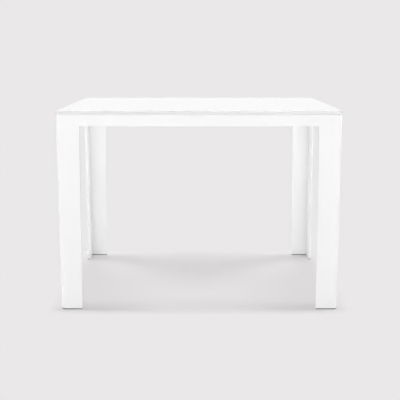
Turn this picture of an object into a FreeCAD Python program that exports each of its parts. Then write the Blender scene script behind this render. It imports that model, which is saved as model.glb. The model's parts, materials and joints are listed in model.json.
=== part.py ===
import FreeCAD, Part
import math
import os

# A parsons dining table: a back-painted glass top on a slim metal frame, flush with four angle legs.
# Millimetres. X runs along the table, Y across it, Z is up, and the front is at -Y.
# The origin is on the floor, under the centre of the top.

# Overall
table_length = 1055.0
table_width = 700.0
table_height = 760.0

# Glass top and what it rests on
glass_thickness = 12.0
glass_corner_radius = 11.0
glass_bevel = 1.2
glass_gap = 2.0
pad_width = 14.0
pad_bevel = 0.6
pad_corner_inset = 15.0
long_rail_pad_offset = 210.0

# Apron rails
rail_height = 43.0
rail_depth = 25.0
rail_wall = 2.0
edge_bevel = 0.8
joint_bevel = 0.6

# Legs: an angle in plan that tapers to the foot, under a head with a spigot for each rail
head_length = 109.0
leg_flange_top = 86.0
leg_flange_foot = 81.5
leg_thickness = 10.0
leg_shell = 2.5
leg_corner_radius_top = 9.0
leg_corner_radius_foot = 17.0
leg_inner_radius = 3.0
spigot_length = 60.0
spigot_lead = 2.0

# Foot caps
cap_thickness = 3.0
cap_inset = 1.5
cap_tongue_height = 15.0
cap_tongue_lead = 1.0

# Corner brackets of bent sheet
bracket_thickness = 3.0
bracket_bend = 1.5
bracket_on_head = 39.0
bracket_on_rail = 56.0
bracket_edge_margin = 9.0

# One bolt through each bracket flange and rail wall into the spigot
bolt_radius = 4.0
bolt_length = 20.0
bolt_head_width = 13.0
bolt_head_height = 5.3
bolt_tip_room = 1.5
bolt_offset = 30.0

# Stud plates bonded under the glass, with a washer and nut each under the bracket
stud_plate_width = 45.0
stud_plate_corner = 6.0
stud_radius = 4.0
stud_spare = 3.0
washer_radius = 8.0
washer_thickness = 1.6
nut_width = 13.0
nut_height = 6.5

# Fits
slide_clearance = 0.3
thread_clearance = 0.2
bolt_hole_clearance = 0.3

# Levels and places that follow
glass_bottom = table_height - glass_thickness
rail_top = glass_bottom - glass_gap
rail_bottom = rail_top - rail_height
bolt_level = rail_bottom + rail_height / 2
bolt_place = head_length + bolt_offset
long_rail_length = table_length - 2 * head_length
short_rail_length = table_width - 2 * head_length
bracket_start = head_length - bracket_on_head
bracket_end = head_length + bracket_on_rail
bracket_bottom = bolt_level - bracket_edge_margin
bend_zone = rail_depth + bracket_thickness + bracket_bend
# The middle of the bracket's plate, along the corner's diagonal
stud_place = (bracket_start + bracket_end) / 4 + bend_zone / 2

UP = FreeCAD.Vector(0, 0, 1)
ORIGIN = FreeCAD.Vector(0, 0, 0)
TOLERANCE = 0.01
FUSE_TOLERANCE = 0.001
OVERRUN = 1.0

# A corner piece is drawn at the front left corner, with the table's outer corner on the Z axis,
# and is the same about its diagonal, so a quarter turn takes it to the next corner.
CORNERS = (
    ("front_left", -1, -1, 0),
    ("front_right", 1, -1, 90),
    ("back_right", 1, 1, 180),
    ("back_left", -1, 1, 270),
)

# A rail is drawn along X with its outer face on Y = 0, and turned to its side of the table.
SIDES = (
    ("front", 0, table_width / 2, long_rail_length, (-long_rail_pad_offset, long_rail_pad_offset)),
    ("right", 90, table_length / 2, short_rail_length, (0.0,)),
    ("back", 180, table_width / 2, long_rail_length, (-long_rail_pad_offset, long_rail_pad_offset)),
    ("left", 270, table_length / 2, short_rail_length, (0.0,)),
)


def vector(x, y, z):
    return FreeCAD.Vector(x, y, z)


def export(name, solids):
    shape = solids[0] if len(solids) == 1 else Part.makeCompound(solids)
    shape.exportStep("parts/" + name + ".step")


def at_corner(shape, side_x, side_y, turn):
    placed = shape.copy()
    placed.rotate(ORIGIN, UP, turn)
    placed.translate(vector(side_x * table_length / 2, side_y * table_width / 2, 0))
    return placed


def at_side(shape, turn, distance):
    placed = shape.copy()
    placed.translate(vector(0, -distance, 0))
    placed.rotate(ORIGIN, UP, turn)
    return placed


def across_diagonal(shape):
    """The same piece on the other side of the corner's diagonal plane."""
    return shape.mirror(ORIGIN, vector(1, -1, 0))


def rounded_outline(corners, to_point):
    """A closed wire through (a, b, radius) corners, each placed in space by to_point(a, b)."""
    edges = []
    ends = []
    for index, (a, b, radius) in enumerate(corners):
        here = vector(a, b, 0)
        before = vector(*corners[index - 1][:2], 0) - here
        after = vector(*corners[(index + 1) % len(corners)][:2], 0) - here
        half_angle = before.getAngle(after) / 2
        before.normalize()
        after.normalize()
        reach = radius / math.tan(half_angle)
        start = here + before * reach
        end = here + after * reach
        ends.append((start, end))
        if radius > 0:
            middle_way = before + after
            middle_way.normalize()
            middle = here + middle_way * (radius / math.sin(half_angle) - radius)
            arc = Part.Arc(*(to_point(point.x, point.y) for point in (start, middle, end)))
            edges.append(arc.toShape())
    for index, (start, end) in enumerate(ends):
        previous_end = ends[index - 1][1]
        if (start - previous_end).Length > TOLERANCE:
            line = Part.makeLine(to_point(previous_end.x, previous_end.y), to_point(start.x, start.y))
            edges.append(line)
    return Part.Wire(Part.__sortEdges__(edges))


def plan_prism(corners, bottom, top):
    """A rounded outline drawn in plan, between two levels."""
    wire = rounded_outline(corners, lambda x, y: vector(x, y, bottom))
    return Part.Face(wire).extrude(vector(0, 0, top - bottom))


def rail_bar(start, end, inset):
    """A solid bar with the rail's section drawn in by inset, from one place along X to another."""
    width = rail_depth - 2 * inset
    height = rail_height - 2 * inset
    return Part.makeBox(end - start, width, height, vector(start, inset, rail_bottom + inset))


def long_edges(bar):
    return [edge for edge in bar.Edges if edge.BoundBox.XLength > TOLERANCE]


def end_edges(bar, along):
    """The edges of a bar's end face, at one place along X."""
    return [edge for edge in bar.Edges if edge.BoundBox.XLength < TOLERANCE
            and abs(edge.CenterOfMass.x - along) < TOLERANCE]


def edges_within(shape, low, high):
    """The edges that lie wholly inside the box between two corners."""
    room = FreeCAD.BoundBox(low, high)
    room.enlarge(TOLERANCE)
    return [edge for edge in shape.Edges if room.isInside(edge.BoundBox)]


def upright_edge(shape, x, y):
    """The one edge that stands on the plan point (x, y)."""
    low = vector(x, y, -table_height)
    high = vector(x, y, 2 * table_height)
    return edges_within(shape, low, high)[0]


# Legs


def taper(at_foot, at_top, level):
    """A leg size that changes evenly from the foot to the underside of the rails."""
    share = (level - cap_thickness) / (rail_bottom - cap_thickness)
    return at_foot + (at_top - at_foot) * share


def sharp_angle(inset, bottom, top):
    """The leg's tapering angle between two levels, with every wall face drawn in by inset.

    Its outer edge is still sharp.
    """
    low_width = taper(leg_flange_foot, leg_flange_top, bottom) - inset
    high_width = taper(leg_flange_foot, leg_flange_top, top) - inset
    wire = Part.makePolygon([
        vector(inset, inset, bottom),
        vector(low_width, inset, bottom),
        vector(high_width, inset, top),
        vector(inset, inset, top),
        vector(inset, inset, bottom),
    ])
    plate = Part.Face(wire).extrude(vector(0, leg_thickness - 2 * inset, 0))
    angle = plate.fuse(across_diagonal(plate)).removeSplitter()

    inner = leg_thickness - inset
    return angle.makeFillet(leg_inner_radius + inset, [upright_edge(angle, inner, inner)])


def rounded_angle(inset, bottom, top):
    """The same angle with the outer radius of the leg's foot all the way up, drawn in alike."""
    angle = sharp_angle(inset, bottom, top)
    return angle.makeFillet(leg_corner_radius_foot - inset, [upright_edge(angle, inset, inset)])


def arris_waste(bottom, top):
    """What lies outside the leg's outer arris: a bar along the sharp edge less a cone that rests in it.

    The cone touches both outer faces all the way, and its radius follows the leg's taper.
    """
    squares = []
    for level in (bottom, top):
        radius = taper(leg_corner_radius_foot, leg_corner_radius_top, level)
        squares.append(Part.makePolygon([
            vector(-OVERRUN, -OVERRUN, level),
            vector(radius, -OVERRUN, level),
            vector(radius, radius, level),
            vector(-OVERRUN, radius, level),
            vector(-OVERRUN, -OVERRUN, level),
        ]))
    edge_bar = Part.makeLoft(squares, True, True)

    ends = []
    for level in (bottom - leg_corner_radius_foot, top + leg_corner_radius_foot):
        radius = taper(leg_corner_radius_foot, leg_corner_radius_top, level)
        ends.append((radius, vector(radius, radius, level)))
    (low_radius, low_centre), (high_radius, high_centre) = ends
    axis = high_centre - low_centre
    half_angle = math.asin((low_radius - high_radius) / axis.Length)
    widening = 1 / math.cos(half_angle)
    cone = Part.makeCone(low_radius * widening, high_radius * widening, axis.Length, low_centre, axis)
    return edge_bar.cut(cone)


def free_arrises(angle):
    """The long edges at the free ends of the leg's two flanges."""
    end = min(leg_flange_foot, leg_flange_top)
    far_end = max(leg_flange_foot, leg_flange_top)
    on_x = edges_within(angle, vector(end, 0, 0), vector(far_end, leg_thickness, rail_bottom))
    on_y = edges_within(angle, vector(0, end, 0), vector(leg_thickness, far_end, rail_bottom))
    return [edge for edge in on_x + on_y if edge.Length > leg_thickness + TOLERANCE]


def leg_column():
    angle = sharp_angle(0, cap_thickness, rail_bottom)
    angle = angle.cut(arris_waste(cap_thickness - OVERRUN, rail_bottom + OVERRUN))
    return angle.makeChamfer(edge_bevel, free_arrises(angle))


def head_block():
    """The part of the head over the leg, with its long edges bevelled as the rails' are."""
    corners = [
        (0, 0, leg_corner_radius_top),
        (leg_flange_top, 0, 0),
        (leg_flange_top, rail_depth, 0),
        (rail_depth, rail_depth, 0),
        (rail_depth, leg_flange_top, 0),
        (0, leg_flange_top, 0),
    ]
    block = plan_prism(corners, rail_bottom, rail_top)
    whole = vector(leg_flange_top, leg_flange_top, rail_top)
    top_edges = edges_within(block, vector(0, 0, rail_top), whole)
    inside = vector(rail_depth, rail_depth, rail_bottom)
    bottom_edges = edges_within(block, inside, vector(leg_flange_top, leg_flange_top, rail_bottom))
    ends = edges_within(block, vector(leg_flange_top, 0, 0), whole)
    ends += edges_within(block, vector(0, leg_flange_top, 0), whole)
    bevelled = [edge for edge in top_edges + bottom_edges if not any(edge.isSame(end) for end in ends)]
    return block.makeChamfer(edge_bevel, bevelled)


def head_arm():
    """The end of the head that the rail butts against, and the spigot that the rail slides over."""
    bar = rail_bar(leg_flange_top, head_length, 0)
    bar = bar.makeChamfer(edge_bevel, long_edges(bar))
    bar = bar.makeChamfer(joint_bevel, end_edges(bar, head_length))
    tip = head_length + spigot_length
    spigot = rail_bar(head_length, tip, rail_wall + slide_clearance)
    spigot = spigot.makeChamfer(spigot_lead, end_edges(spigot, tip))
    return bar.fuse(spigot)


def bolt_hole(along, clearance, depth):
    """A round hole from the frame's inner face outwards, at one place along X."""
    start = vector(along, rail_depth, bolt_level)
    return Part.makeCylinder(bolt_radius + clearance, depth, start, vector(0, -1, 0))


def leg_casting():
    arm = head_arm()
    leg = head_block().fuse([leg_column(), arm, across_diagonal(arm)], FUSE_TOLERANCE)
    hole = bolt_hole(bolt_place, thread_clearance, bolt_length - bracket_thickness + bolt_tip_room)
    leg = leg.cut([rounded_angle(leg_shell, cap_thickness, rail_bottom), hole, across_diagonal(hole)])
    return leg.removeSplitter()


def foot_cap():
    """A plate under the leg, with a tongue up into the hollow of each flange."""
    room = leg_shell + slide_clearance
    start = leg_corner_radius_foot + slide_clearance
    tongue_top = cap_thickness + cap_tongue_height
    tongue = Part.makeBox(
        leg_flange_foot - room - start,
        leg_thickness - 2 * room,
        cap_tongue_height,
        vector(start, room, cap_thickness),
    )
    top_edges = [edge for edge in tongue.Edges if edge.BoundBox.ZMin > tongue_top - TOLERANCE]
    tongue = tongue.makeChamfer(cap_tongue_lead, top_edges)
    return rounded_angle(cap_inset, 0, cap_thickness).fuse([tongue, across_diagonal(tongue)])


# Rails


def rail(length):
    """A hollow rail, with its outer face on Y = 0 and its middle at X = 0."""
    half = length / 2
    bar = rail_bar(-half, half, 0)
    bar = bar.makeChamfer(edge_bevel, long_edges(bar))
    bar = bar.makeChamfer(joint_bevel, end_edges(bar, -half) + end_edges(bar, half))
    holes = [
        bolt_hole(along, bolt_hole_clearance, rail_wall + OVERRUN)
        for along in (bolt_offset - half, half - bolt_offset)
    ]
    return bar.cut([rail_bar(-half, half, rail_wall)] + holes)


# Corner brackets, bolts and the glass fixings


def corner_bracket():
    start = bracket_start
    end = bracket_end
    corners = [
        (start, rail_depth, 0),
        (end, rail_depth, 0),
        (end, bend_zone, 0),
        (bend_zone, end, 0),
        (rail_depth, end, 0),
        (rail_depth, start, 0),
        (bend_zone, start, 0),
        (start, bend_zone, 0),
    ]
    plate = plan_prism(corners, rail_top - bracket_thickness, rail_top)
    flange = Part.makeBox(
        end - start,
        bracket_thickness,
        rail_top - bracket_bottom,
        vector(start, rail_depth, bracket_bottom),
    )
    hole_start = vector(bolt_place, rail_depth - OVERRUN, bolt_level)
    hole_length = bracket_thickness + 2 * OVERRUN
    hole = Part.makeCylinder(bolt_radius + bolt_hole_clearance, hole_length, hole_start, vector(0, 1, 0))
    flange = flange.cut(hole)
    bracket = plate.fuse([flange, across_diagonal(flange)]).removeSplitter()

    under = rail_top - bracket_thickness
    face = rail_depth + bracket_thickness
    bends = edges_within(bracket, vector(start, rail_depth, rail_top), vector(end, rail_depth, rail_top))
    bends += edges_within(bracket, vector(rail_depth, start, rail_top), vector(rail_depth, end, rail_top))
    bracket = bracket.makeFillet(bracket_thickness + bracket_bend, bends)
    bends = edges_within(bracket, vector(start, face, under), vector(end, face, under))
    bends += edges_within(bracket, vector(face, start, under), vector(face, end, under))
    bracket = bracket.makeFillet(bracket_bend, bends)

    stud_hole = Part.makeCylinder(
        stud_radius + bolt_hole_clearance,
        bracket_thickness + 2 * OVERRUN,
        vector(stud_place, stud_place, rail_top - bracket_thickness - OVERRUN),
    )
    return bracket.cut(stud_hole)


def hexagon(width, centre, height, direction):
    """An upright hexagonal bar of the given width across its flats."""
    sides = 6
    corner = width / 2 / math.cos(math.pi / sides)
    angles = [2 * math.pi * step / sides for step in range(sides + 1)]
    points = [vector(corner * math.cos(angle), corner * math.sin(angle), 0) for angle in angles]
    bar = Part.Face(Part.makePolygon(points)).extrude(vector(0, 0, height * direction))
    bar.translate(centre)
    return bar


def bracket_bolts():
    """The two bolts of one corner, their heads seated on the inner faces of its bracket."""
    shank = Part.makeCylinder(bolt_radius, bolt_length, ORIGIN, vector(0, 0, -1))
    bolt = hexagon(bolt_head_width, ORIGIN, bolt_head_height, 1).fuse(shank)
    bolt.rotate(ORIGIN, vector(1, 0, 0), -90)
    bolt.translate(vector(bolt_place, rail_depth + bracket_thickness, bolt_level))
    return [bolt, across_diagonal(bolt)]


def stud_plate():
    """A square plate bonded under the glass, with a threaded stud down through the bracket."""
    centre = vector(stud_place, stud_place, rail_top)
    corner = centre - vector(stud_plate_width / 2, stud_plate_width / 2, 0)
    plate = Part.makeBox(stud_plate_width, stud_plate_width, glass_gap, corner)
    uprights = [edge for edge in plate.Edges if edge.BoundBox.ZLength > glass_gap - TOLERANCE]
    plate = plate.makeChamfer(stud_plate_corner, uprights)
    stud_length = bracket_thickness + washer_thickness + nut_height + stud_spare
    return plate.fuse(Part.makeCylinder(stud_radius, stud_length, centre, vector(0, 0, -1)))


def stud_washer():
    centre = vector(stud_place, stud_place, rail_top - bracket_thickness - washer_thickness)
    washer = Part.makeCylinder(washer_radius, washer_thickness, centre)
    return washer.cut(Part.makeCylinder(stud_radius + bolt_hole_clearance, washer_thickness, centre))


def stud_nut():
    centre = vector(stud_place, stud_place, rail_top - bracket_thickness - washer_thickness)
    hole = Part.makeCylinder(stud_radius + thread_clearance, nut_height, centre, vector(0, 0, -1))
    return hexagon(nut_width, centre, nut_height, -1).cut(hole)


def glass_pad(x, y):
    """A soft square bumper stuck to the frame, under the glass."""
    corner = vector(x - pad_width / 2, y - pad_width / 2, rail_top)
    pad = Part.makeBox(pad_width, pad_width, glass_gap, corner)
    top_edges = [edge for edge in pad.Edges if edge.BoundBox.ZMin > glass_bottom - TOLERANCE]
    return pad.makeChamfer(pad_bevel, top_edges)


def glass_top():
    half_length = table_length / 2
    half_width = table_width / 2
    outline = [
        (-half_length, -half_width, glass_corner_radius),
        (half_length, -half_width, glass_corner_radius),
        (half_length, half_width, glass_corner_radius),
        (-half_length, half_width, glass_corner_radius),
    ]
    slab = plan_prism(outline, glass_bottom, table_height)
    arrises = [edge for edge in slab.Edges if edge.BoundBox.ZLength < TOLERANCE]
    return slab.makeChamfer(glass_bevel, arrises)


# The whole table

os.makedirs("parts", exist_ok=True)

export("glass_top", [glass_top()])

leg = leg_casting()
cap = foot_cap()
bracket = corner_bracket()
fasteners = {
    "bracket_bolts": bracket_bolts(),
    "glass_stud_plates": [stud_plate()],
    "stud_washers": [stud_washer()],
    "stud_nuts": [stud_nut()],
}
for corner, side_x, side_y, turn in CORNERS:
    export("leg_" + corner, [at_corner(leg, side_x, side_y, turn)])
    export("foot_cap_" + corner, [at_corner(cap, side_x, side_y, turn)])
    export("corner_bracket_" + corner, [at_corner(bracket, side_x, side_y, turn)])

for name, solids in fasteners.items():
    export(name, [at_corner(solid, *place) for corner, *place in CORNERS for solid in solids])

pads = [at_corner(glass_pad(pad_corner_inset, pad_corner_inset), *place) for corner, *place in CORNERS]
for side, turn, distance, length, pad_places in SIDES:
    export("rail_" + side, [at_side(rail(length), turn, distance)])
    pads += [at_side(glass_pad(along, rail_depth / 2), turn, distance) for along in pad_places]
export("glass_pads", pads)
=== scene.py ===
import json
import math
import bmesh
import bpy
from mathutils import Matrix, Vector


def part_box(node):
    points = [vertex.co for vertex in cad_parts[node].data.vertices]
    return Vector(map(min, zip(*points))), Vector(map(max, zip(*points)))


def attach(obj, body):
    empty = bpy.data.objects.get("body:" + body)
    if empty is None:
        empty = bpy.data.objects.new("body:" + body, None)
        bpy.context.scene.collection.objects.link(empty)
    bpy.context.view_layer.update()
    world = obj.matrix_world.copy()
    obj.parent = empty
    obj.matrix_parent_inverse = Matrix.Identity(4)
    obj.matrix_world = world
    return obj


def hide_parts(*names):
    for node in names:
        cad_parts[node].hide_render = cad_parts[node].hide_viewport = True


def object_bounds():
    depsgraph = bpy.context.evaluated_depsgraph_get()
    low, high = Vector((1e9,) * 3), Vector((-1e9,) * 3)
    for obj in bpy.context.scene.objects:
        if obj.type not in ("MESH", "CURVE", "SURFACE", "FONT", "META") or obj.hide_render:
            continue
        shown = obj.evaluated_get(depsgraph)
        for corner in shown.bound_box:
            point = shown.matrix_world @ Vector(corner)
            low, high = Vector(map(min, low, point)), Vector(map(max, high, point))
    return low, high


# The dressed parsons dining table: materials for every piece, soft studio light and the camera.
# Metres. X runs along the table, Y towards the back, Z is up.

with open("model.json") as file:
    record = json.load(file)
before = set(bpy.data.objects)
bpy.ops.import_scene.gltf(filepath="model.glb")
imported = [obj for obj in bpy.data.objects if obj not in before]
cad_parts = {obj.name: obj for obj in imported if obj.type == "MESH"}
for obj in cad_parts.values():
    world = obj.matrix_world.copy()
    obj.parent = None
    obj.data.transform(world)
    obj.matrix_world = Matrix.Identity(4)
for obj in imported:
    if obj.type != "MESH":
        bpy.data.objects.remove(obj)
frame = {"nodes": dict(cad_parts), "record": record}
cad_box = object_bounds()
nodes = frame["nodes"]

# Studio: the backdrop's paint, and the share of it that the floor needs to look the same under the lamps
BACKDROP = (0.8228, 0.8069, 0.8148)
FLOOR_SHARE = 0.995

# How far the floor reaches, and how far outside the table's footprint it has passed into the backdrop
FLOOR_REACH = 60.0
FLOOR_FADE = 0.06

# What polished faces mirror: the white of the studio's walls
MIRRORED = (0.98, 0.975, 0.978)

# Soft lamps at a great distance: side (0 is the front, 90 the right), height in degrees, strength, spread
SUNS = {
    "left": (-105.0, 25.0, 1.50, 44.0),
    "right": (105.0, 25.0, 1.45, 44.0),
    "back": (180.0, 30.0, 1.00, 44.0),
    "overhead": (0.0, 90.0, 1.42, 80.0),
}

# A lit wall in front, low on the horizon: how bright it is, where it fades out upwards (the sine of the
# height) and where it fades in from the sides (the cosine of the angle from the front)
WALL_LIGHT = 10.8
WALL_TOP = (0.06, 0.15)
WALL_SIDES = (0.45, 0.80)

# Camera: where it stands, how many degrees it looks down, its lens in millimetres, and its shift
CAMERA_PLACE = (0.0035, -2.7995, 0.9766)
CAMERA_DIP = 7.89
CAMERA_LENS = 60.29
CAMERA_SHIFT = -0.14

# M8 threads: over half a pitch, the crest ends at the first share given and the root begins at the second
THREAD_RADIUS = 0.004
THREAD_PITCH = 0.00125
THREAD_DEPTH = 0.00077
THREAD_CREST = 0.125
THREAD_ROOT = 0.75
THREAD_ROOM = 0.0001
THREAD_END = 0.001

# M8 hexagons: width across flats, the round face at the end and the slope of the chamfer round it, a bolt's
# head with the thin land under it, and how wide a nut's bore opens
HEXAGON_WIDTH = 0.013
HEXAGON_FACE = 0.0059
HEXAGON_CHAMFER = math.tan(math.radians(30))
HEAD_HEIGHT = 0.0053
HEAD_LAND = 0.0004
NUT_MOUTH = 0.0043

# Stud plates: the small bevel on their edges, their cut corners, and how deep a stud is rooted in its plate
PLATE_BEVEL = 0.0003
PLATE_CORNER = 0.006
STUD_ROOT = 0.001

# Seal strip between frame and glass: how far inside the edge it starts, its width, how its lip is cut,
# and the radius of the glass's corners, which it follows
SEAL_INSET = 0.0012
SEAL_WIDTH = 0.003
SEAL_LIP = 0.0004
GLASS_CORNER = 0.011

# Divisions: round a fastener, along one turn of its thread, and in each corner of the strip
AROUND = 36
ALONG = 6
CORNER_STEPS = 12

# Points of a CAD mesh closer than this are one, and edges sharper than this stay sharp
SAME_POINT = 1e-6
SHARP_EDGE = math.radians(25)

# Colours, linear. Those in pairs drift from the first to the second
WHITE_COAT = ((0.86, 0.862, 0.86), (0.84, 0.842, 0.842))
GLASS_WHITE = (0.88, 0.882, 0.882)
GLASS_EDGE = (0.75, 0.756, 0.755)
CAP_BLACK = ((0.02, 0.02, 0.021), (0.035, 0.035, 0.036))
PLATED_STEEL = ((0.60, 0.62, 0.66), (0.70, 0.71, 0.72))
FASTENER_STEEL = ((0.56, 0.57, 0.60), (0.66, 0.66, 0.64))
STAINLESS = ((0.55, 0.55, 0.55), (0.63, 0.63, 0.62))
CLEAR_PAD = ((0.82, 0.84, 0.84), (0.75, 0.77, 0.77))

# The values that noise stays between nearly everywhere
NOISE_SPAN = (0.3, 0.7)

# How level a face of the glass is, as its normal's Z, where it stops looking like an edge
GLASS_TURN = (0.2, 0.6)


# Shader building


class Shading:
    """A node tree, and short ways to fill it."""

    def __init__(self, tree):
        self.tree = tree

    def node(self, kind, **settings):
        """A new node with its settings."""
        made = self.tree.nodes.new(kind)
        for key, value in settings.items():
            setattr(made, key, value)
        return made

    def fill(self, socket, value):
        """Sets an input, or links it to another node's output."""
        if isinstance(value, bpy.types.NodeSocket):
            self.tree.links.new(value, socket)
        else:
            socket.default_value = value

    def feed(self, node, *values, **named):
        """Fills a node's inputs in their order, or by name with _ for a space."""
        for socket, value in zip(node.inputs, values):
            self.fill(socket, value)
        for name, value in named.items():
            self.fill(node.inputs[name.replace("_", " ")], value)
        return node

    def worked(self, operation, *values):
        """What a Math node makes of one or two values."""
        return self.feed(self.node("ShaderNodeMath", operation=operation), *values).outputs["Value"]

    def vector(self, operation, *values):
        """What a Vector Math node makes of one or two vectors."""
        made = self.feed(self.node("ShaderNodeVectorMath", operation=operation), *values)
        return made.outputs["Value" if operation == "LENGTH" else "Vector"]

    def ranged(self, value, low, high, span=NOISE_SPAN, change="LINEAR"):
        """The value's way through a span, spread over low to high."""
        made = self.node("ShaderNodeMapRange", interpolation_type=change)
        return self.feed(made, value, *span, low, high).outputs["Result"]

    def rays(self):
        """Whether a ray comes from the camera, and whether it comes out of a mirror or glass."""
        path = self.node("ShaderNodeLightPath").outputs
        mirrored = self.worked("MAXIMUM", path["Is Glossy Ray"], path["Is Transmission Ray"])
        return path["Is Camera Ray"], mirrored

    def blended(self, share, first, second):
        """A node that blends two shaders by share."""
        blend = self.node("ShaderNodeMixShader")
        return self.feed(blend, share, first.outputs[0], second.outputs[0])


class Material(Shading):
    """A material with one Principled shader, and what textures need."""

    def __init__(self, name, metallic=0.0):
        self.material = bpy.data.materials.new(name)
        self.material.use_nodes = True
        super().__init__(self.material.node_tree)
        self.shader = self.tree.nodes["Principled BSDF"]
        self.feed(self.shader, Metallic=metallic)
        self.place = self.node("ShaderNodeTexCoord").outputs["Object"]

    def noise(self, per_metre, detail=3.0, stretch=(1.0, 1.0, 1.0)):
        """Noise of so many features a metre, drawn out along the axes where stretch is small."""
        mapping = self.feed(self.node("ShaderNodeMapping"), Vector=self.place, Scale=stretch)
        texture = self.node("ShaderNodeTexNoise")
        self.feed(texture, Vector=mapping.outputs["Vector"], Scale=per_metre, Detail=detail)
        return texture.outputs["Fac"]

    def mixed(self, share, first, second):
        """A colour between two, by share. The numbers are the Mix node's sockets for colours."""
        made = self.node("ShaderNodeMix", data_type="RGBA")
        self.fill(made.inputs[0], share)
        self.fill(made.inputs[6], (*first, 1.0))
        self.fill(made.inputs[7], (*second, 1.0))
        return made.outputs[2]

    def bump(self, height, depth):
        """Lets a height texture raise the surface by up to depth metres."""
        made = self.feed(self.node("ShaderNodeBump"), Height=height, Distance=depth, Strength=1.0)
        self.feed(self.shader, Normal=made.outputs["Normal"])


def white_powder_coat():
    """Satin white powder coat: a fine orange peel, with a faint cloudiness in colour and gloss."""
    coat = Material("white_powder_coat")
    clouds = coat.ranged(coat.noise(per_metre=4.0), 0.0, 1.0)
    gloss = coat.ranged(coat.noise(per_metre=35.0), 0.34, 0.42)
    coat.feed(coat.shader, Base_Color=coat.mixed(clouds, *WHITE_COAT), Roughness=gloss)
    coat.bump(coat.noise(per_metre=650.0, detail=2.0), depth=0.00002)
    return coat.material


def white_glass():
    """Clear glass with white paint on its back: bright under the polished top, deeper at the edge."""
    glass = Material("white_glass")
    geometry = glass.node("ShaderNodeNewGeometry")
    normal = glass.feed(glass.node("ShaderNodeSeparateXYZ"), geometry.outputs["True Normal"])
    edge = glass.ranged(glass.worked("ABSOLUTE", normal.outputs["Z"]), 1.0, 0.0, GLASS_TURN)
    smears = glass.ranged(glass.noise(per_metre=14.0, detail=5.0), 0.03, 0.07)
    colour = glass.mixed(edge, GLASS_WHITE, GLASS_EDGE)
    glass.feed(glass.shader, Base_Color=colour, Roughness=smears, IOR=1.52)
    glass.bump(glass.noise(per_metre=9.0, detail=1.0), depth=0.00004)
    return glass.material


def black_cap():
    """Moulded black plastic with a spark-eroded grain."""
    cap = Material("black_cap")
    grain = cap.noise(per_metre=1800.0, detail=2.0)
    colour = cap.mixed(cap.noise(per_metre=60.0), *CAP_BLACK)
    cap.feed(cap.shader, Base_Color=colour, Roughness=cap.ranged(grain, 0.45, 0.6))
    cap.bump(grain, depth=0.00002)
    return cap.material


def plated_steel():
    """Zinc-plated sheet steel: rolling marks under a cloudy bluish plating."""
    zinc = Material("plated_steel", metallic=1.0)
    marks = zinc.noise(per_metre=420.0, detail=4.0, stretch=(0.08, 1.0, 1.0))
    colour = zinc.mixed(zinc.noise(per_metre=28.0, detail=4.0), *PLATED_STEEL)
    zinc.feed(zinc.shader, Base_Color=colour, Roughness=zinc.ranged(marks, 0.32, 0.5))
    zinc.bump(marks, depth=0.00001)
    return zinc.material


def fastener_steel():
    """Bright zinc on small turned and pressed parts: softly clouded, with no grain to see."""
    zinc = Material("fastener_steel", metallic=1.0)
    clouds = zinc.noise(per_metre=350.0, detail=2.0)
    colour = zinc.mixed(clouds, *FASTENER_STEEL)
    zinc.feed(zinc.shader, Base_Color=colour, Roughness=zinc.ranged(clouds, 0.27, 0.36))
    return zinc.material


def stainless_plate():
    """Stainless steel with a ground grain."""
    steel = Material("stainless_plate", metallic=1.0)
    grain = steel.noise(per_metre=1100.0, stretch=(1.0, 0.04, 1.0))
    colour = steel.mixed(grain, *STAINLESS)
    steel.feed(steel.shader, Base_Color=colour, Roughness=steel.ranged(grain, 0.28, 0.45))
    steel.bump(grain, depth=0.000006)
    return steel.material


def clear_pad():
    """Soft milky plastic that lets some light through."""
    pad = Material("clear_pad")
    clouds = pad.noise(per_metre=180.0)
    pad.feed(pad.shader, Base_Color=pad.mixed(clouds, *CLEAR_PAD), Roughness=pad.ranged(clouds, 0.28, 0.42))
    pad.feed(pad.shader, Transmission_Weight=0.25, IOR=1.43)
    pad.bump(clouds, depth=0.00003)
    return pad.material


FINISHES = {
    "white_powder_coat": white_powder_coat(),
    "white_glass": white_glass(),
    "black_cap": black_cap(),
    "plated_steel": plated_steel(),
    "fastener_steel": fastener_steel(),
    "stainless_plate": stainless_plate(),
    "clear_pad": clear_pad(),
}

for subpart in frame["record"]["subparts"]:
    node = nodes[subpart["node"]]
    node.data.materials.clear()
    node.data.materials.append(FINISHES[subpart["material_slot"]])


# Fasteners in full detail, in place of their plain CAD forms


def solids(node):
    """The boxes of the separate solids of a CAD node, each as its lowest and highest corner."""
    mesh = bmesh.new()
    mesh.from_mesh(nodes[node].data)
    bmesh.ops.remove_doubles(mesh, verts=mesh.verts, dist=SAME_POINT)
    waiting = set(mesh.verts)
    boxes = []
    while waiting:
        rim = [waiting.pop()]
        found = []
        while rim:
            vertex = rim.pop()
            found.append(vertex.co.copy())
            for edge in vertex.link_edges:
                other = edge.other_vert(vertex)
                if other in waiting:
                    waiting.remove(other)
                    rim.append(other)
        boxes.append(tuple(Vector(pick(axis) for axis in zip(*found)) for pick in (min, max)))
    mesh.free()
    return sorted(boxes, key=lambda box: tuple(box[0]))


def hexagon(turn=0.0):
    """The radius of a hexagon by angle, with a corner at the angle given."""
    side = math.radians(60)
    return lambda angle: HEXAGON_WIDTH / 2 / math.cos((angle - turn) % side - side / 2)


def thread(height, room=0.0):
    """The radius of a right-hand thread by angle, at one height along its axis."""

    def radius(angle):
        turns = height / THREAD_PITCH - angle / math.tau
        depth = abs(turns % 1 - 0.5) * 2
        share = (depth - THREAD_CREST) / (THREAD_ROOT - THREAD_CREST)
        return THREAD_RADIUS + room - THREAD_DEPTH * min(max(share, 0.0), 1.0)

    return radius


def thread_rings(start, end, room=0.0):
    """Rings along a thread, as pairs of radius and height."""
    count = round(abs(end - start) / THREAD_PITCH * ALONG)
    heights = [start + (end - start) * step / count for step in range(count + 1)]
    return [(thread(height, room), height) for height in heights]


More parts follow.
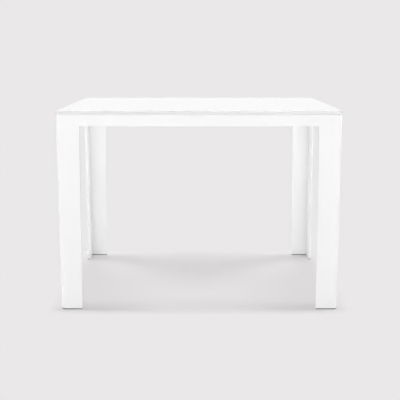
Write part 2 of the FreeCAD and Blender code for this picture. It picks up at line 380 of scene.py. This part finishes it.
def ring_points(radius, height):
    """The points of one ring round Z. Radius and height are numbers, or functions of the angle."""
    points = []
    for step in range(AROUND):
        angle = step / AROUND * math.tau
        reach = radius(angle) if callable(radius) else radius
        level = height(angle) if callable(height) else height
        points.append(Vector((reach * math.cos(angle), reach * math.sin(angle), level)))
    return points


def join_rings(mesh, rings, place, looped=False):
    """Skins a row of rings of points, and closes its ends, or joins the last ring to the first."""
    made = [[mesh.verts.new(place @ point) for point in ring] for ring in rings]
    for lower, upper in zip(made, made[1:] + made[:1] if looped else made[1:]):
        for step in range(len(lower)):
            following = (step + 1) % len(lower)
            mesh.faces.new((lower[step], lower[following], upper[following], upper[step]))
    if not looped:
        mesh.faces.new(made[0])
        mesh.faces.new(made[-1])


def finished_piece(name, mesh, slot, node=None):
    """Makes a piece that rides on the table, and that stands for a CAD node where one is named."""
    bmesh.ops.recalc_face_normals(mesh, faces=mesh.faces)
    data = bpy.data.meshes.new(name)
    mesh.to_mesh(data)
    mesh.free()
    data.shade_smooth()
    data.set_sharp_from_angle(angle=SHARP_EDGE)
    data.materials.append(FINISHES[slot])
    piece = bpy.data.objects.new(name, data)
    bpy.context.scene.collection.objects.link(piece)
    if node:
        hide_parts(node)
    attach(piece, "root")


def chamfer_of(outline, top, way):
    """The height at which a hexagon comes out of the cone that chamfers its end."""
    return lambda angle: top + way * (outline(angle) - HEXAGON_FACE) * HEXAGON_CHAMFER


def bolt_rings(length):
    """A hexagon bolt along Z: its head below zero, its threaded shank above."""
    outline = hexagon()
    head = [
        (HEXAGON_FACE, -HEAD_HEIGHT),
        (outline, chamfer_of(outline, -HEAD_HEIGHT, 1)),
        (outline, -HEAD_LAND),
        (HEXAGON_FACE, -HEAD_LAND),
        (HEXAGON_FACE, 0.0),
    ]
    tip = (THREAD_RADIUS - THREAD_END, length)
    return head + thread_rings(0.0, length - THREAD_END) + [tip]


def detailed_bolts():
    """Hexagon bolts through the corner brackets, each with its head towards the middle of the table."""
    mesh = bmesh.new()
    for low, high in solids("bracket_bolts"):
        size = high - low
        along = 0 if size.x > size.y else 1
        centre = (low + high) / 2
        outwards = Vector((0, 0, 0))
        outwards[along] = math.copysign(1, centre[along])
        head_end = centre - outwards * size[along] / 2
        seat = Matrix.Translation(head_end + outwards * HEAD_HEIGHT)
        up = Vector((0, 0, 1))
        turn = Matrix((up.cross(outwards), up, outwards)).transposed().to_4x4()
        rings = [ring_points(*ring) for ring in bolt_rings(size[along] - HEAD_HEIGHT)]
        join_rings(mesh, rings, seat @ turn)
    finished_piece("bracket_bolts_detail", mesh, "fastener_steel", "bracket_bolts")


def stud_foot(low, high):
    """Where a stud leaves its plate: the middle of a box, at the height of the frame's top."""
    centre = (low + high) / 2
    return Vector((centre.x, centre.y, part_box("rail_front")[1].z))


def detailed_nuts():
    """Hexagon nuts with both ends chamfered, their threads in step with the studs they run on."""
    mesh = bmesh.new()
    for low, high in solids("stud_nuts"):
        foot = stud_foot(low, high)
        bottom, top = low.z - foot.z, high.z - foot.z
        outline = hexagon(0.0 if high.x - low.x > high.y - low.y else math.pi / 2)
        outside = [
            (HEXAGON_FACE, bottom),
            (outline, chamfer_of(outline, bottom, 1)),
            (outline, chamfer_of(outline, top, -1)),
            (HEXAGON_FACE, top),
        ]
        lead = NUT_MOUTH - THREAD_RADIUS
        bore = thread_rings(top - lead, bottom + lead, THREAD_ROOM)
        inside = [(NUT_MOUTH, top)] + bore + [(NUT_MOUTH, bottom)]
        rings = [ring_points(*ring) for ring in outside + inside]
        join_rings(mesh, rings, Matrix.Translation(foot), looped=True)
    finished_piece("stud_nuts_detail", mesh, "fastener_steel", "stud_nuts")


def plate_ring(half, inset, height):
    """The eight corners of a square plate with cut corners, drawn in by an inset."""
    near = half - PLATE_CORNER - inset * math.tan(math.pi / 8)
    far = half - inset
    quarter = [Vector((far, -near, height)), Vector((far, near, height))]
    return [Matrix.Rotation(math.pi / 2 * turn, 3, "Z") @ point for turn in range(4) for point in quarter]


def detailed_studs():
    """Plates with softened edges under the glass, each with its threaded stud."""
    mesh = bmesh.new()
    for low, high in solids("glass_stud_plates"):
        foot = stud_foot(low, high)
        half = (high.x - low.x) / 2
        top, bottom = high.z - foot.z, low.z - foot.z
        levels = [(PLATE_BEVEL, top), (0.0, top - PLATE_BEVEL), (0.0, PLATE_BEVEL), (PLATE_BEVEL, 0.0)]
        place = Matrix.Translation(foot)
        join_rings(mesh, [plate_ring(half, inset, height) for inset, height in levels], place)
        tip = (THREAD_RADIUS - THREAD_END, bottom)
        rings = thread_rings(STUD_ROOT, bottom + THREAD_END) + [tip]
        join_rings(mesh, [ring_points(*ring) for ring in rings], place)
    finished_piece("glass_stud_plates_detail", mesh, "stainless_plate", "glass_stud_plates")


# The soft strip in the gap under the glass


def rim_ring(inset, height):
    """A line round the table at one height, so far inside the edge of the glass."""
    low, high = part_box("glass_top")
    reach = GLASS_CORNER - inset
    points = []
    for quarter, corner in enumerate([(high.x, high.y), (low.x, high.y), (low.x, low.y), (high.x, low.y)]):
        x, y = (place - math.copysign(GLASS_CORNER, place) for place in corner)
        for step in range(CORNER_STEPS + 1):
            angle = (quarter + step / CORNER_STEPS) * math.pi / 2
            points.append(Vector((x + reach * math.cos(angle), y + reach * math.sin(angle), height)))
    return points


def seal_strip():
    """A soft strip all round in the gap between frame and glass, its lip just inside their bevels."""
    mesh = bmesh.new()
    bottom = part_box("rail_front")[1].z
    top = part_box("glass_top")[0].z
    back = SEAL_INSET + SEAL_WIDTH
    profile = [
        (SEAL_INSET + SEAL_LIP, bottom),
        (SEAL_INSET, bottom + SEAL_LIP),
        (SEAL_INSET, top - SEAL_LIP),
        (SEAL_INSET + SEAL_LIP, top),
        (back, top),
        (back, bottom),
    ]
    join_rings(mesh, [rim_ring(inset, height) for inset, height in profile], Matrix(), looped=True)
    finished_piece("glass_seal_strip", mesh, "clear_pad")


detailed_bolts()
detailed_nuts()
detailed_studs()
seal_strip()


# Studio


def sun(name, side, height, strength, spread):
    """A soft lamp. Polished faces mirror only the overhead one, and plain white elsewhere."""
    lamp = bpy.data.lights.new(name, "SUN")
    lamp.energy = strength
    lamp.angle = math.radians(spread)
    placed = bpy.data.objects.new(name, lamp)
    placed.rotation_euler = (math.radians(90 - height), 0, math.radians(side))
    placed.visible_glossy = name == "overhead"
    bpy.context.scene.collection.objects.link(placed)


def studio_floor():
    """A wide plain floor that holds the table's shadow, and away from the table shows the backdrop."""
    mesh = bpy.data.meshes.new("studio_floor")
    corners = [(-1, -1), (1, -1), (1, 1), (-1, 1)]
    mesh.from_pydata([(x * FLOOR_REACH, y * FLOOR_REACH, 0) for x, y in corners], [], [(0, 1, 2, 3)])
    floor = bpy.data.objects.new("studio_floor", mesh)
    bpy.context.scene.collection.objects.link(floor)

    paint = Material("studio_floor")
    mesh.materials.append(paint.material)
    colour = (*(channel * FLOOR_SHARE for channel in BACKDROP), 1.0)
    paint.feed(paint.shader, Base_Color=colour, Roughness=1.0, Specular_IOR_Level=0.0)
    footprint = (cad_box[1][0], cad_box[1][1], 0.0)
    beyond = paint.vector("SUBTRACT", paint.vector("ABSOLUTE", paint.place), footprint)
    outside = paint.vector("LENGTH", paint.vector("MAXIMUM", beyond, (0.0, 0.0, 0.0)))
    far = paint.ranged(outside, 0.0, 1.0, (0.0, FLOOR_FADE), "SMOOTHSTEP")
    share = paint.worked("MULTIPLY", far, paint.worked("MAXIMUM", *paint.rays()))
    backdrop = paint.feed(paint.node("ShaderNodeEmission"), Color=(*BACKDROP, 1.0))
    choice = paint.blended(share, paint.shader, backdrop)
    paint.feed(paint.tree.nodes["Material Output"], Surface=choice.outputs[0])


def studio_world():
    """A lit wall for the object, the plain backdrop for the camera, and white for mirrors and glass."""
    world = bpy.data.worlds.new("studio")
    bpy.context.scene.world = world
    world.use_nodes = True
    world.node_tree.nodes.clear()

    sky = Shading(world.node_tree)
    place = sky.node("ShaderNodeTexCoord").outputs["Generated"]
    direction = sky.feed(sky.node("ShaderNodeSeparateXYZ"), place).outputs
    low = sky.ranged(direction["Z"], 1.0, 0.0, WALL_TOP, "SMOOTHSTEP")
    forward = sky.worked("MULTIPLY", direction["Y"], -1.0)
    ahead = sky.ranged(forward, 0.0, 1.0, WALL_SIDES, "SMOOTHSTEP")
    strength = sky.worked("MULTIPLY", sky.worked("MULTIPLY", low, ahead), WALL_LIGHT)

    light = sky.feed(sky.node("ShaderNodeBackground"), Color=(1.0, 1.0, 1.0, 1.0), Strength=strength)
    white = sky.feed(sky.node("ShaderNodeBackground"), Color=(*MIRRORED, 1.0))
    backdrop = sky.feed(sky.node("ShaderNodeBackground"), Color=(*BACKDROP, 1.0))
    camera, mirrored = sky.rays()
    choice = sky.blended(camera, sky.blended(mirrored, light, white), backdrop)
    sky.feed(sky.node("ShaderNodeOutputWorld"), Surface=choice.outputs[0])


def studio_camera():
    """The camera at the photo's place, with a small shift for its framing."""
    camera = bpy.data.objects.new("camera", bpy.data.cameras.new("camera"))
    bpy.context.scene.collection.objects.link(camera)
    camera.location = CAMERA_PLACE
    camera.rotation_euler = (math.radians(90 - CAMERA_DIP), 0, 0)
    camera.data.lens = CAMERA_LENS
    camera.data.shift_y = CAMERA_SHIFT
    bpy.context.scene.camera = camera


for name, settings in SUNS.items():
    sun(name, *settings)
studio_floor()
studio_world()
studio_camera()
bpy.context.scene.view_settings.view_transform = "Standard"
